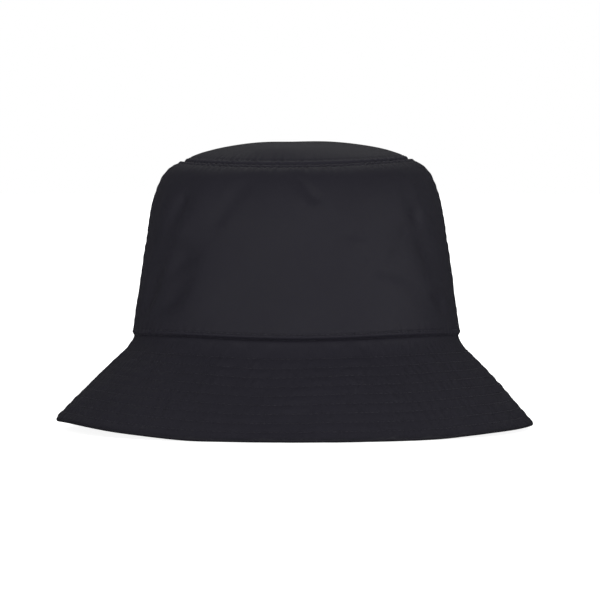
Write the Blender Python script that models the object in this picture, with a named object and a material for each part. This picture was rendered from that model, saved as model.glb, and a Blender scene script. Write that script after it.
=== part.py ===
"""Bucket hat for a head of 57 cm round, sewn from flat cut pieces: a domed tip, two crown panels, a two-ply
brim with a stiffener between the plies and rows of topstitching, a lining, a sweatband and two labels.

Metres, +Z up, front towards -Y. The origin is the middle of the level plane that the brim stands on. Every
sewn piece is a thin sheet swept round one oval plan. Its outline is a list of (radius, height) points, where
radius is the half-width of the hat, and the half-depth is longer by OVAL.
"""

import math

import bmesh
import bpy
from mathutils import Vector

# ---- driving dimensions -------------------------------------------------------------------------------
OVAL = 0.0098  # how much longer the half-depth is than the half-width, everywhere
STEPS = 48  # facets round the hat

SEAM_Z = 0.0515  # height of the seam between crown and brim
SEAM_RADIUS = 0.0892  # outer half-width of the crown at that seam
CROWN_TAPER = 0.143  # the crown's half-width lost for each metre of height
SHOULDER_Z = 0.107  # above this the crown wall rounds over towards the tip
SHOULDER_EASE = 0.55  # share of the shoulder's rounding that starts early; the rest is close to the tip seam
TIP_SEAM_Z = 0.1462
TIP_RADIUS = 0.0618
TIP_RIM = 0.005  # the tip's edge, turned down inside the top of the crown wall
TOP_Z = 0.1561
DOME_POWER = 3.6

BRIM_RADIUS = 0.1301  # outer half-width at the brim's edge
BEND = 0.066  # how far the brim falls inside a straight flare, as a share of its run
BEND_AT = 0.18  # where it does so most, as a share of its drop from the seam
SIDE_LIFT = 0.0033  # how far the brim's edge rises at the hat's sides; it stands on its front and rear
SEAM_ALLOWANCE = 0.008  # how far the brim runs up inside the crown

SHELL = 0.0006  # thickness of the shell fabric
STIFFENER = 0.0005
LINING = 0.0004
BAND = 0.0008
LABEL = 0.0003
GAP = 0.0003  # clearance between sheets that touch in the real hat
PANEL_GAP = 0.0004  # between the two halves of a panel pair, at the side seams

BAND_HEIGHT = 0.030
LINING_START = 0.010  # height of the lining's lower edge above the seam, behind the sweatband
LINING_TIP_RADIUS = 0.0605
LINING_TIP_Z = 0.1395
LINING_DOME = 0.0085

THREAD = 0.0005  # diameter
EDGE_STITCH = 0.006  # from the brim's edge to its first row of stitching, along the slope
ROW_PITCH = 0.0062
ROW_COUNT = 8  # rows above the first
BASE_STITCH = 0.003  # above the brim seam
SIDE_RUN_START = 0.005  # above the brim seam
TIP_STITCH = 0.0034  # either side of the tip seam
BAND_STITCH = 0.002  # above the brim seam, inside the sweatband

CARE_WIDTH = 0.022
CARE_LENGTH = 0.030
CARE_CLEARANCE = 0.0014  # from the sweatband's inner face at its top edge to the care label
WOVEN_HALF_FACETS = 2  # the woven label's half-width, in facets
WOVEN_LOW = 0.038  # heights of the woven label's edges above the seam
WOVEN_HIGH = 0.054

FRONT = -math.pi / 2  # plan angles, from +X towards +Y
REAR = math.pi / 2
FULL_TURN = 2 * math.pi
SEAM_HALF_ANGLE = PANEL_GAP / 2 / SEAM_RADIUS

# Depths of the layers behind the outer face of the crown wall.
BRIM_UPPER_DEPTH = SHELL + GAP
BRIM_UNDER_DEPTH = BRIM_UPPER_DEPTH + SHELL + GAP
BAND_DEPTH = BRIM_UNDER_DEPTH + SHELL + GAP
BAND_INNER_DEPTH = BAND_DEPTH + BAND
LINING_DEPTH = BRIM_UPPER_DEPTH + 0.0005

NECK_RADIUS = SEAM_RADIUS - BRIM_UPPER_DEPTH  # the brim turns out from under the crown here
NECK_Z = SEAM_Z - GAP


# ---- the hat's surfaces, as lines of (radius, height) ---------------------------------------------------
def crown_radius(z):
    """Outer half-width of the crown at a height: a cone whose top rounds over into the tip."""
    cone = SEAM_RADIUS - CROWN_TAPER * (z - SEAM_Z)
    cone_at_tip = SEAM_RADIUS - CROWN_TAPER * (TIP_SEAM_Z - SEAM_Z)
    share = max(0.0, (z - SHOULDER_Z) / (TIP_SEAM_Z - SHOULDER_Z))
    rounding = SHOULDER_EASE * share**3 + (1 - SHOULDER_EASE) * share**14
    return cone - (cone_at_tip - TIP_RADIUS) * rounding


def crown_line():
    """Outer face of the crown wall, with its points closer together at the shoulder."""
    rounding = [SHOULDER_Z + (TIP_SEAM_Z - SHOULDER_Z) * share for share in (0.36, 0.60, 0.77, 0.86, 0.92, 0.96)]
    heights = [SEAM_Z, 0.079, SHOULDER_Z, *rounding, TIP_SEAM_Z - 2 * GAP]
    return [(crown_radius(z), z) for z in heights]


def wall_line(low, high, depth, count):
    """A line that follows the crown wall between two heights, at a depth behind its outer face."""
    heights = [low + (high - low) * i / (count - 1) for i in range(count)]
    return [(crown_radius(z) - depth, z) for z in heights]


def tip_height(radius):
    """Height of the domed tip at a half-width."""
    return TOP_Z - (TOP_Z - TIP_SEAM_Z) * (radius / TIP_RADIUS) ** DOME_POWER


def dome_line(rim, top, rise, count):
    """A dome from its rim to its middle."""
    radii = [rim * (1 - (i / count) ** 1.5) for i in range(count)] + [0.0]
    return [(r, top - rise * (r / rim) ** DOME_POWER) for r in radii]


def lining_radius(z):
    """Outer half-width of the lining's side, which leaves the crown wall as it rises."""
    share = (z - SEAM_Z - LINING_START) / (LINING_TIP_Z - SEAM_Z - LINING_START)
    slack = crown_radius(LINING_TIP_Z) - LINING_DEPTH - LINING_TIP_RADIUS
    return crown_radius(z) - LINING_DEPTH - slack * share**3


def lining_line():
    low, high = SEAM_Z + LINING_START, LINING_TIP_Z
    heights = [low + (high - low) * share for share in (0.0, 0.25, 0.5, 0.72, 0.88, 1.0)]
    return [(lining_radius(z), z) for z in heights]


def brim_radius(z):
    """Half-width of the brim's upper face: it drops steeply from the seam and then flares out straight."""
    share = 1 - z / NECK_Z
    lag = BEND * share / BEND_AT * math.exp(1 - share / BEND_AT)
    return NECK_RADIUS + (BRIM_RADIUS - NECK_RADIUS) * (share - lag)


def brim_points(heights, depth):
    """Points at a depth under the brim's upper face, measured square to it, at the same heights."""
    step = 0.0005
    points = []
    for z in heights:
        flare = (brim_radius(z - step) - brim_radius(z + step)) / (2 * step)
        points.append((brim_radius(z) - depth * math.hypot(1, flare), z))
    return points


def brim_line(depth, allowance_depth):
    """A brim face, from its seam allowance inside the crown, round the seam and down to z = 0."""
    allowance = wall_line(SEAM_Z, SEAM_Z + SEAM_ALLOWANCE, BRIM_UPPER_DEPTH + allowance_depth, 2)
    return allowance[::-1] + brim_points([0.047, 0.040, 0.028, 0.0], depth)


def on_brim(from_edge, lift):
    """A point over the brim's upper face, at a distance from its edge up the slope."""
    z = 0.0
    step = 0.0002
    while from_edge > 0:
        flare = (brim_radius(z) - brim_radius(z + step)) / step
        from_edge -= step * math.hypot(1, flare)
        z += step
    return brim_points([z], -lift)[0]


def inset(line, depth):
    """A line that rises or runs inwards, moved towards the inside of the hat, square to itself."""
    points = [Vector(point) for point in line]
    moved = []
    for before, point, after in zip(points[:1] + points, points, points[1:] + points[-1:]):
        along = (after - before).normalized()
        shifted = point + Vector((-along.y, along.x)) * depth
        moved.append((max(0.0, shifted.x), shifted.y))
    return moved


# ---- making solids --------------------------------------------------------------------------------------
def finish(name, mesh_data, material):
    """Stretches a round bmesh to the oval plan, lifts the brim's sides and makes it a named, shaded object."""
    bmesh.ops.remove_doubles(mesh_data, verts=mesh_data.verts, dist=1e-6)
    for vert in mesh_data.verts:
        radius = math.hypot(vert.co.x, vert.co.y)
        if radius > 0.001:
            vert.co.z += SIDE_LIFT * (vert.co.x / radius) ** 2 * max(0.0, 1 - vert.co.z / SEAM_Z)
            vert.co.y *= (radius + OVAL) / radius
    bmesh.ops.recalc_face_normals(mesh_data, faces=mesh_data.faces)
    mesh = bpy.data.meshes.new(name)
    mesh_data.to_mesh(mesh)
    mesh_data.free()
    mesh.shade_smooth()
    mesh.set_sharp_from_angle(angle=math.radians(35))
    mesh.materials.append(material)
    body = bpy.data.objects.new(name, mesh)
    bpy.context.scene.collection.objects.link(body)
    return body


def swept(name, outline, material, start=0.0, sweep=FULL_TURN):
    """An outline swept round the hat. One that starts on the hat's axis is left open there, and a sweep of
    less than a full turn gets flat ends."""
    mesh_data = bmesh.new()
    steps = round(STEPS * sweep / FULL_TURN)
    whole = sweep > FULL_TURN - 1e-9
    rings = []
    for i in range(steps if whole else steps + 1):
        angle = start + sweep * i / steps
        heading = Vector((math.cos(angle), math.sin(angle)))
        rings.append([mesh_data.verts.new((*(heading * r), z)) for r, z in outline])
    sides = len(outline) if outline[0][0] > 0 else len(outline) - 1
    for one, other in zip(rings, rings[1:] + rings[:1] if whole else rings[1:]):
        for j in range(sides):
            k = (j + 1) % len(outline)
            mesh_data.faces.new((one[j], one[k], other[k], other[j]))
    if not whole:
        mesh_data.faces.new(rings[0])
        mesh_data.faces.new(rings[-1][::-1])
    return finish(name, mesh_data, material)


def front_and_rear(name, outline, material):
    """Two pieces of the same outline, which meet at the side seams."""
    for suffix, middle in (("front", FRONT), ("rear", REAR)):
        start = middle - FULL_TURN / 4 + SEAM_HALF_ANGLE
        swept(f"{name}_{suffix}", outline, material, start, FULL_TURN / 2 - 2 * SEAM_HALF_ANGLE)


def thread_ring(name, centre, material):
    """A ring of thread round the hat, three-sided, its middle at a (radius, height) point."""
    reach = THREAD / 2
    corners = [math.radians(angle) for angle in (90, 210, 330)]
    outline = [(centre[0] + reach * math.cos(a), centre[1] + reach * math.sin(a)) for a in corners]
    swept(name, outline, material)


def thread_run(name, line, angle, material):
    """A run of thread up the crown wall at one plan angle."""
    curve = bpy.data.curves.new(name, "CURVE")
    curve.dimensions = "3D"
    curve.bevel_depth = THREAD / 2
    curve.bevel_resolution = 0
    curve.use_fill_caps = True
    spline = curve.splines.new("POLY")
    spline.points.add(len(line) - 1)
    for point, (r, z) in zip(spline.points, line):
        point.co = (r * math.cos(angle), (r + OVAL) * math.sin(angle), z, 1)
    curve.materials.append(material)
    body = bpy.data.objects.new(name, curve)
    bpy.context.scene.collection.objects.link(body)


def fabric(name, colour, roughness):
    material = bpy.data.materials.new(name)
    material.use_nodes = True
    shader = material.node_tree.nodes["Principled BSDF"]
    shader.inputs["Base Color"].default_value = (*colour, 1)
    shader.inputs["Roughness"].default_value = roughness
    shader.inputs["Metallic"].default_value = 0.0
    return material


# ---- the hat's pieces -----------------------------------------------------------------------------------
def make_crown(shell):
    wall = crown_line()
    front_and_rear("crown_panel", wall + inset(wall, SHELL)[::-1], shell)

    rim = TIP_RADIUS - 2 * GAP
    dome = dome_line(rim, TOP_Z, TOP_Z - TIP_SEAM_Z, 6)
    turned_down = [(rim, TIP_SEAM_Z - TIP_RIM), (rim - SHELL, TIP_SEAM_Z - TIP_RIM)]
    swept("crown_tip", dome[::-1] + turned_down + inset(dome, SHELL), shell)


def make_brim(shell, stiffener):
    upper = brim_line(0.0, 0.0) + brim_line(SHELL, SHELL)[::-1]
    front_and_rear("brim_upper", upper, shell)

    # The stiffener stops short of the seam and of the edge.
    heights = [0.044, 0.035, 0.022, 0.002]
    depth = SHELL + GAP
    layer = brim_points(heights, depth) + brim_points(heights, depth + STIFFENER)[::-1]
    front_and_rear("brim_stiffener", layer, stiffener)

    depth += STIFFENER + GAP
    allowance_depth = BRIM_UNDER_DEPTH - BRIM_UPPER_DEPTH
    under = brim_line(depth, allowance_depth)
    under_back = brim_line(depth + SHELL, allowance_depth + SHELL)
    front_and_rear("brim_under", under + under_back[::-1], shell)


def make_lining(lining):
    side = lining_line()
    front_and_rear("lining_panel", side + inset(side, LINING)[::-1], lining)
    dome = dome_line(LINING_TIP_RADIUS - LINING - GAP, LINING_TIP_Z + LINING_DOME, LINING_DOME, 3)
    swept("lining_tip", dome[::-1] + inset(dome, LINING), lining)


def make_sweatband(tape):
    """One strip whose ends meet at the back."""
    low, high = SEAM_Z - GAP, SEAM_Z + BAND_HEIGHT
    outline = wall_line(low, high, BAND_DEPTH, 3) + wall_line(low, high, BAND_INNER_DEPTH, 3)[::-1]
    swept("sweatband", outline, tape, REAR + SEAM_HALF_ANGLE, FULL_TURN - 2 * SEAM_HALF_ANGLE)


def make_woven_label(woven):
    """It lies on the lining at the back."""
    depth = LINING + GAP
    face = [(lining_radius(SEAM_Z + h) - depth, SEAM_Z + h) for h in (WOVEN_LOW, WOVEN_HIGH)]
    back = [(r - LABEL, z) for r, z in face]
    half_angle = WOVEN_HALF_FACETS * FULL_TURN / STEPS
    swept("woven_label", face + back[::-1], woven, REAR - half_angle, 2 * half_angle)


def make_care_label(care):
    """A flap that hangs at the back from the sweatband's top edge. Its origin is on the line it swings about."""
    hinge_z = SEAM_Z + BAND_HEIGHT - GAP
    hinge_y = crown_radius(hinge_z) - BAND_INNER_DEPTH + OVAL - CARE_CLEARANCE
    flap = bmesh.new()
    bmesh.ops.create_cube(flap, size=1.0)
    bmesh.ops.scale(flap, vec=(CARE_WIDTH, LABEL, CARE_LENGTH), verts=flap.verts)
    bmesh.ops.translate(flap, vec=(0, 0, -CARE_LENGTH / 2), verts=flap.verts)
    mesh = bpy.data.meshes.new("care_label")
    flap.to_mesh(mesh)
    flap.free()
    mesh.materials.append(care)
    label = bpy.data.objects.new("care_label", mesh)
    label.location = (0, hinge_y, hinge_z)
    bpy.context.scene.collection.objects.link(label)


def make_stitching(thread):
    lift = GAP + THREAD / 2
    thread_ring("brim_hem_stitch", on_brim(EDGE_STITCH, lift), thread)
    for row in range(1, ROW_COUNT + 1):
        thread_ring(f"brim_row_stitch_{row}", on_brim(EDGE_STITCH + row * ROW_PITCH, lift), thread)

    z = SEAM_Z + BASE_STITCH
    thread_ring("crown_base_stitch", (crown_radius(z) + lift, z), thread)
    z = SEAM_Z + BAND_STITCH
    thread_ring("sweatband_stitch", (crown_radius(z) - BAND_INNER_DEPTH - lift, z), thread)
    z = TIP_SEAM_Z - TIP_STITCH
    thread_ring("tip_seam_lower_stitch", (crown_radius(z) + lift, z + lift), thread)
    r = TIP_RADIUS - TIP_STITCH
    thread_ring("tip_seam_upper_stitch", (r, tip_height(r) + 1.5 * lift), thread)

    # One run up the front side of each side seam.
    start = SEAM_Z + SIDE_RUN_START
    run = [(crown_radius(start) + lift, start)] + [(r + lift, z) for r, z in crown_line()[1:-3]]
    half_facet = FULL_TURN / STEPS / 2
    thread_run("left_side_seam_stitch", run, -half_facet, thread)
    thread_run("right_side_seam_stitch", run, FULL_TURN / 2 + half_facet, thread)


def main():
    for old in list(bpy.data.objects):
        bpy.data.objects.remove(old)
    shell = fabric("shell_fabric", (0.026, 0.025, 0.031), 0.85)
    make_crown(shell)
    make_brim(shell, fabric("stiffener", (0.30, 0.30, 0.31), 0.9))
    make_lining(fabric("lining_fabric", (0.020, 0.020, 0.024), 0.55))
    make_sweatband(fabric("sweatband_tape", (0.016, 0.016, 0.018), 0.8))
    make_woven_label(fabric("woven_label_fabric", (0.045, 0.045, 0.050), 0.5))
    make_care_label(fabric("care_label_fabric", (0.72, 0.71, 0.68), 0.5))
    make_stitching(fabric("thread", (0.030, 0.029, 0.035), 0.6))


main()
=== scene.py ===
"""Looks of the bucket hat: sheets of cloth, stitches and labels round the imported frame, a floor, light and a
camera. Lengths are in metres and angles in radians, unless a comment says otherwise.

Most sheets are a grid of points. Each row runs round the hat at one distance along the sheet's outline, and
each column runs along the outline at one plan angle, from +X towards +Y. An outline is a line in the
(radius, height) half-plane. A point lies at a distance along it, with a lift square to it. The radius is half
the hat's width, and half its depth is longer by OVAL.
"""

import math

import bmesh
import bpy
import numpy as np
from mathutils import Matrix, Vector


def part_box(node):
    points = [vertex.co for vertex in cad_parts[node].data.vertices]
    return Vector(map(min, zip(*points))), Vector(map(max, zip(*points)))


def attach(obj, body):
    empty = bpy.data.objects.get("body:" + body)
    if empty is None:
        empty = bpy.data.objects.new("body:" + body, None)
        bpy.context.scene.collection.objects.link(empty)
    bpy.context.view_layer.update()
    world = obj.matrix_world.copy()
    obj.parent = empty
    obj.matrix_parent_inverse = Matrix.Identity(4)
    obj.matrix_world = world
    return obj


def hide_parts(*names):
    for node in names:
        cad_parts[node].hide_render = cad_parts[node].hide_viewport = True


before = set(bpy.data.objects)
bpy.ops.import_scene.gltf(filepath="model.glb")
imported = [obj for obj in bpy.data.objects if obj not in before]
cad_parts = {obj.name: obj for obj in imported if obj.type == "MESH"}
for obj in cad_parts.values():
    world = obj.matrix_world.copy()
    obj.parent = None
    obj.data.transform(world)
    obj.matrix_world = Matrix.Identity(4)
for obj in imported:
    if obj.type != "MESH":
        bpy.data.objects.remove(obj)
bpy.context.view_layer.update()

# ---- sizes read from the frame ----
wall_low, wall_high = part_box("crown_panel_front")
tip_low, tip_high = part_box("crown_tip")
band_low, band_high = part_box("sweatband")
care_low, care_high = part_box("care_label")
woven_low, woven_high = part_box("woven_label")
lining_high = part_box("lining_panel_front")[1]

SEAM_Z = wall_low.z
SEAM_RADIUS = wall_high.x
OVAL = -wall_low.y - wall_high.x
TIP_RIM = 0.005  # the tip's edge, turned down inside the wall
TIP_SEAM_Z = tip_low.z + TIP_RIM
TIP_RADIUS = tip_high.x
TOP_Z = tip_high.z
BRIM_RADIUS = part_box("brim_upper_front")[1].x
LINING_TIP_Z = lining_high.z
LINING_TOP_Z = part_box("lining_tip")[1].z
LINING_TIP_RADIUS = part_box("lining_tip")[1].x

# ---- the hat's shape and sewing, in metres ----
CROWN_TAPER = 0.143  # the wall's radius shrinks by this much for each metre of height
SHOULDER_Z = 0.107  # from here up, the wall rounds over to the tip seam
SHOULDER_EASE = 0.55  # this share of the rounding is slow, and the rest comes just below the tip seam
DOME_POWER = 3.6  # how flat the tip's middle is
BEND = 0.066  # near its seam the brim falls steeper than a cone, by this share of its reach
BEND_AT = 0.18  # how far down the brim that is strongest, as a share of its height
SIDE_LIFT = 0.0033  # the brim's edge rises this much at its sides
CORNER_LIFT = 0.0075  # how strongly the edge rises just ahead of its sides and just behind them
EDGE_TILT = 0.0016  # the brim's edge hangs this much lower on the wearer's left, and higher on the right
EDGE_SHIFT = 0.0013  # the brim's edge stands this far towards the wearer's right
EDGE_DROP = 0.0012  # the brim's edge reaches this far below the line of its upper face
EDGE_EASE = 0.0004  # how gradually the edge goes over from standing on the table to rising off it
WAVE = 0.00045  # strength of the brim's slow waves
WAVE_OUT, WAVE_UP = 0.75, 0.66  # a wave moves the brim square to its slope, outwards and upwards
SEAM_PINCH = 0.0016  # how deep the crease at the brim seam is
CREASE = 0.00075  # how fast that crease closes
SEAM_SWAY = 0.0012  # the brim seam rises this much at the hat's four diagonals
TIP_TILT = 0.0007  # the tip seam sits this much higher on the wearer's left, and lower on the right
TIP_DIP = 0.0028  # the tip seam dips this much straight ahead
POLE = 0.03  # within this radius, the hat's oval turns round and its sways fade

SHELL = 0.0006  # thickness of the shell cloth
LINING = 0.0004  # thickness of the lining
BAND = 0.0009  # thickness of the sweatband
BRIM_THICKNESS = 0.0023  # both plies and the stiffener
BRIM_ROUNDING = 0.0011  # how far from its edge the brim starts to round off
PLY_LEAST = 0.00018  # half the brim's thickness at its very edge
PLY_APART = 0.00008  # the least that a ply stays away from the brim's middle
ALLOWANCE = 0.006  # the brim's cloth inside the crown
NECK_PLAY = 0.0003  # between the wall and the brim at their seam
ALLOWANCE_PLAY = 0.0004  # between the wall and the brim's cloth inside it
RIM_PLAY = 0.0004  # between the wall and the tip's turned-down rim
STIFFENER_START = 0.0025  # from the brim's edge to the stiffener
STIFFENER_SHORTER = 0.006  # the stiffener is this much narrower than the brim
STIFFENER = 0.0004  # its thickness

EDGE_STITCH = 0.006  # from the brim's edge to its first row of stitches
ROW_PITCH = 0.0062
ROW_COUNT = 9
BASE_STITCH = 0.0030  # from each seam to its topstitching
TIP_STITCH = 0.0034
SIDE_STITCH = 0.0026
BAND_STITCH = 0.0020  # from the sweatband's lower edge to its stitching
STITCH_PITCH = 0.0030
STITCH_LENGTH = 0.0025
LABEL_STITCH_PITCH = 0.0018
LABEL_STITCH_LENGTH = 0.0015
THREAD_RADIUS = 0.00021

FRONT = -math.pi / 2
REAR = math.pi / 2
HALF_TURN = math.pi
FULL_TURN = 2 * math.pi
SEAM_SLIT = 0.00008  # half the slit between two panels' edges at a side seam
SEAM_SLANT = 0.0007  # that slit slants through the cloth by this much, so that no light passes it
BAND_SLIT = 0.0003  # half the gap between the sweatband's ends, at the rear
PROBE = 0.001  # how far off a surface its outward direction is read


# ---- outlines ----
class Outline:
    """A line in the (radius, height) half-plane that runs upwards or inwards."""

    def __init__(self, radius, height):
        self.points = np.stack([radius, height], axis=1)
        steps = np.diff(self.points, axis=0)
        self.at = np.concatenate([[0.0], np.cumsum(np.hypot(steps[:, 0], steps[:, 1]))])
        self.length = self.at[-1]
        along = np.gradient(self.points, self.at, axis=0)
        along /= np.hypot(along[:, 0], along[:, 1])[:, None]
        self.square = np.stack([along[:, 1], -along[:, 0]], axis=1)

    def read(self, distance, lift=0.0):
        """Radius and height at a distance along the line, lifted off it to its outer side."""
        radius = np.interp(distance, self.at, self.points[:, 0])
        height = np.interp(distance, self.at, self.points[:, 1])
        square_r = np.interp(distance, self.at, self.square[:, 0])
        square_z = np.interp(distance, self.at, self.square[:, 1])
        return radius + lift * square_r, height + lift * square_z


def crown_radius(z):
    """Radius of the wall's outer face: a cone whose top rounds over to the tip seam."""
    cone = SEAM_RADIUS - CROWN_TAPER * (z - SEAM_Z)
    cone_at_tip = SEAM_RADIUS - CROWN_TAPER * (TIP_SEAM_Z - SEAM_Z)
    share = np.clip((z - SHOULDER_Z) / (TIP_SEAM_Z - SHOULDER_Z), 0, None)
    rounding = SHOULDER_EASE * share**3 + (1 - SHOULDER_EASE) * share**14
    return cone - (cone_at_tip - TIP_RADIUS) * rounding


def brim_radius(z):
    """Radius of the brim's upper face."""
    neck = SEAM_RADIUS - SHELL - NECK_PLAY
    share = 1 - z / SEAM_Z
    lag = BEND * share / BEND_AT * np.exp(1 - share / BEND_AT)
    return neck + (BRIM_RADIUS - neck) * (share - lag)


def dome(rim, top, rise):
    """Outline of a dome, from its rim inwards to its middle."""
    radius = rim * np.linspace(1, 0, 200)
    return Outline(radius, top - rise * (radius / rim) ** DOME_POWER)


wall_z = np.linspace(SEAM_Z, TIP_SEAM_Z, 400)
wall = Outline(crown_radius(wall_z), wall_z)
brim_z = np.linspace(0, SEAM_Z, 400)
allowance_z = SEAM_Z + np.linspace(NECK_PLAY, ALLOWANCE, 30)
brim = Outline(
    np.concatenate([brim_radius(brim_z), crown_radius(allowance_z) - SHELL - ALLOWANCE_PLAY]),
    np.concatenate([brim_z, allowance_z]),
)
BRIM_SLOPE = brim.length - ALLOWANCE  # from the brim's edge up to its seam
tip = dome(TIP_RADIUS, TOP_Z, TOP_Z - TIP_SEAM_Z)

row_distances = [EDGE_STITCH + row * ROW_PITCH for row in range(ROW_COUNT)]


# ---- small tools on grids ----
def hump(x, width):
    """1 at x = 0, falling smoothly to nothing over a few widths."""
    return np.exp(-((x / width) ** 2))


def ridges(x, profile):
    """A seam's cross-section at a distance x from it. The profile lists each ridge as (place, height, width),
    and a groove is a ridge whose height is below 0."""
    return sum(height * hump(x - place, width) for place, height, width in profile)


def smooth_step(x, low, high):
    """0 up to low, 1 from high on, and smooth between them."""
    t = np.clip((x - low) / (high - low), 0, 1)
    return t * t * (3 - 2 * t)


def unit(vectors):
    return vectors / np.linalg.norm(vectors, axis=-1, keepdims=True)


def crinkle(seed, theta, distance, turns, slant, count=14):
    """Smooth random relief with unit strength. It sums waves, each with a number of turns round the hat that
    lies between two limits, and with crests that slant by chance."""
    rng = np.random.default_rng(seed)
    total = 0.0
    for _ in range(count):
        around = rng.integers(turns[0], turns[1] + 1)
        across = rng.uniform(-slant, slant)
        total = total + np.cos(around * theta + across * distance + rng.uniform(0, FULL_TURN))
    return total / math.sqrt(count / 2)


FOLD_RADIUS = 0.085  # turns the folds' plan angles into distances round the crown
FOLD_RIDGE = 0.55  # how much of a ridge a fold has on both sides of its valley

# Soft folds that the crown holds: the plan angle in degrees from straight ahead and the height at both ends,
# the width and the depth.
CROWN_FOLDS = (
    ((-52, 0.124), (-70, 0.062), 0.0080, 0.0036),
    ((-47, 0.092), (-52, 0.064), 0.0130, 0.0034),
    ((53, 0.116), (65, 0.058), 0.0080, 0.0026),
    ((45, 0.106), (38, 0.088), 0.0070, 0.0016),
    ((-1, 0.142), (7, 0.128), 0.0042, 0.0022),
    ((22, 0.108), (31, 0.088), 0.0060, 0.0014),
    ((-22, 0.134), (-31, 0.116), 0.0060, 0.0012),
    ((116, 0.122), (98, 0.070), 0.0090, 0.0030),
    ((150, 0.110), (163, 0.066), 0.0080, 0.0026),
    ((-140, 0.118), (-112, 0.076), 0.0100, 0.0030),
    ((-168, 0.130), (-158, 0.100), 0.0060, 0.0018),
)


def crown_folds(theta, z):
    """Sum of the shallow folds, each a valley with a soft ridge on both sides."""
    ahead = (theta - FRONT + HALF_TURN) % FULL_TURN - HALF_TURN
    total = 0.0
    for (angle_a, z_a), (angle_b, z_b), width, depth in CROWN_FOLDS:
        a = np.array([math.radians(angle_a) * FOLD_RADIUS, z_a])
        b = np.array([math.radians(angle_b) * FOLD_RADIUS, z_b])
        line = b - a
        x, y = ahead * FOLD_RADIUS - a[0], z - a[1]
        share = np.clip((x * line[0] + y * line[1]) / (line @ line), 0, 1)
        off = np.hypot(x - share * line[0], y - share * line[1])
        total = total - depth * (1 - FOLD_RIDGE * (off / width) ** 2) * hump(off, width)
    return total


# ---- the crown's slack ----
SLACK_ROWS, SLACK_COLUMNS = 45, 200
SLACK_SCALE = 10  # the cloth solver's usual settings suit a cloth of a metre or two
SLACK_GROW = 0.005  # the wall is cut too large by this share
SLACK_HOLD = 0.14  # how firmly the cloth between the seams keeps its place, where 1 is fixed
SLACK_PRESSURE = 0.9
SLACK_GRAVITY = 0.05  # as a share of full gravity
SLACK_FRAMES = 24
SLACK_STIFFNESS = 15
SLACK_BEND_STIFFNESS = 2.0
SLACK_INMOST, SLACK_OUTMOST = -0.0040, 0.0016


def grid_faces(rows, columns, wrap):
    """Faces of a grid whose points are numbered row by row, seen from the outer side."""
    row, column = np.meshgrid(np.arange(rows - 1), np.arange(columns if wrap else columns - 1), indexing="ij")
    following = (column + 1) % columns
    a = row * columns + column
    b = row * columns + following
    return np.stack([a, b, b + columns, a + columns], axis=-1).reshape(-1, 4)


def folded_wall(theta, z):
    """The soft folds and crinkles that the wall starts with. They fade out at its seams."""
    free = smooth_step(z, SEAM_Z + 0.003, SEAM_Z + 0.020) * smooth_step(TIP_SEAM_Z - z, 0.001, 0.010)
    large = 0.00035 * crinkle(5, theta, z, turns=(3, 11), slant=90)
    small = 0.00010 * crinkle(6, theta, z, turns=(12, 40), slant=260)
    return free * (crown_folds(theta, z) + large + small)


def cloth_ring(points):
    """A ring of cloth through a grid of points, fixed along its seams and softly held between them."""
    mesh = bpy.data.meshes.new("slack_wall")
    mesh.from_pydata(points.reshape(-1, 3).tolist(), [], grid_faces(SLACK_ROWS, SLACK_COLUMNS, True).tolist())
    ring = bpy.data.objects.new("slack_wall", mesh)
    bpy.context.scene.collection.objects.link(ring)
    numbers = np.arange(SLACK_ROWS * SLACK_COLUMNS).reshape(SLACK_ROWS, SLACK_COLUMNS)
    held = ring.vertex_groups.new(name="held")
    held.add(numbers[2:-2].ravel().tolist(), SLACK_HOLD, "REPLACE")
    held.add(numbers[[0, 1, -2, -1]].ravel().tolist(), 1.0, "REPLACE")
    modifier = ring.modifiers.new("cloth", "CLOTH")
    modifier.point_cache.frame_start = 1
    modifier.point_cache.frame_end = SLACK_FRAMES
    modifier.collision_settings.use_self_collision = False
    settings = modifier.settings
    settings.quality = 6
    settings.mass = 0.3
    settings.air_damping = 2
    settings.tension_stiffness = SLACK_STIFFNESS
    settings.compression_stiffness = SLACK_STIFFNESS
    settings.shear_stiffness = SLACK_STIFFNESS / 2
    settings.bending_stiffness = SLACK_BEND_STIFFNESS
    settings.shrink_min = -SLACK_GROW
    settings.vertex_group_mass = held.name
    settings.use_pressure = True
    settings.uniform_pressure_force = SLACK_PRESSURE
    settings.effector_weights.gravity = SLACK_GRAVITY
    return ring


def settled_points(ring):
    """Where the ring's points are once its cloth has settled. The ring is deleted."""
    for number in range(1, SLACK_FRAMES + 1):
        bpy.context.scene.frame_set(number)
    settled = ring.evaluated_get(bpy.context.evaluated_depsgraph_get()).data
    ends = np.empty(len(settled.vertices) * 3, np.float32)
    settled.vertices.foreach_get("co", ends)
    bpy.context.scene.frame_set(1)
    mesh = ring.data
    bpy.data.objects.remove(ring)
    bpy.data.meshes.remove(mesh)
    return ends.reshape(SLACK_ROWS, SLACK_COLUMNS, 3)


def settled_wall():
    """How far the crown's wall gives, by row and column of a grid of heights and plan angles."""
    z, theta = np.meshgrid(
        np.linspace(SEAM_Z, TIP_SEAM_Z, SLACK_ROWS),
        np.linspace(0, FULL_TURN, SLACK_COLUMNS, endpoint=False),
        indexing="ij",
    )
    start = folded_wall(theta, z)
    radius = crown_radius(z)
    outward = np.stack([np.cos(theta), np.sin(theta), np.zeros_like(theta)], axis=-1)
    plain = np.stack([radius * np.cos(theta), (radius + OVAL) * np.sin(theta), z], axis=-1)
    ring = cloth_ring(SLACK_SCALE * (plain + start[..., None] * outward))
    moved = settled_points(ring) / SLACK_SCALE - plain
    change = (moved * outward).sum(axis=-1) - start
    # The cloth gives unevenly, but the wall as a whole keeps its size.
    change = change - change.mean(axis=1, keepdims=True)
    return np.clip(start + change, SLACK_INMOST, SLACK_OUTMOST)


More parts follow.
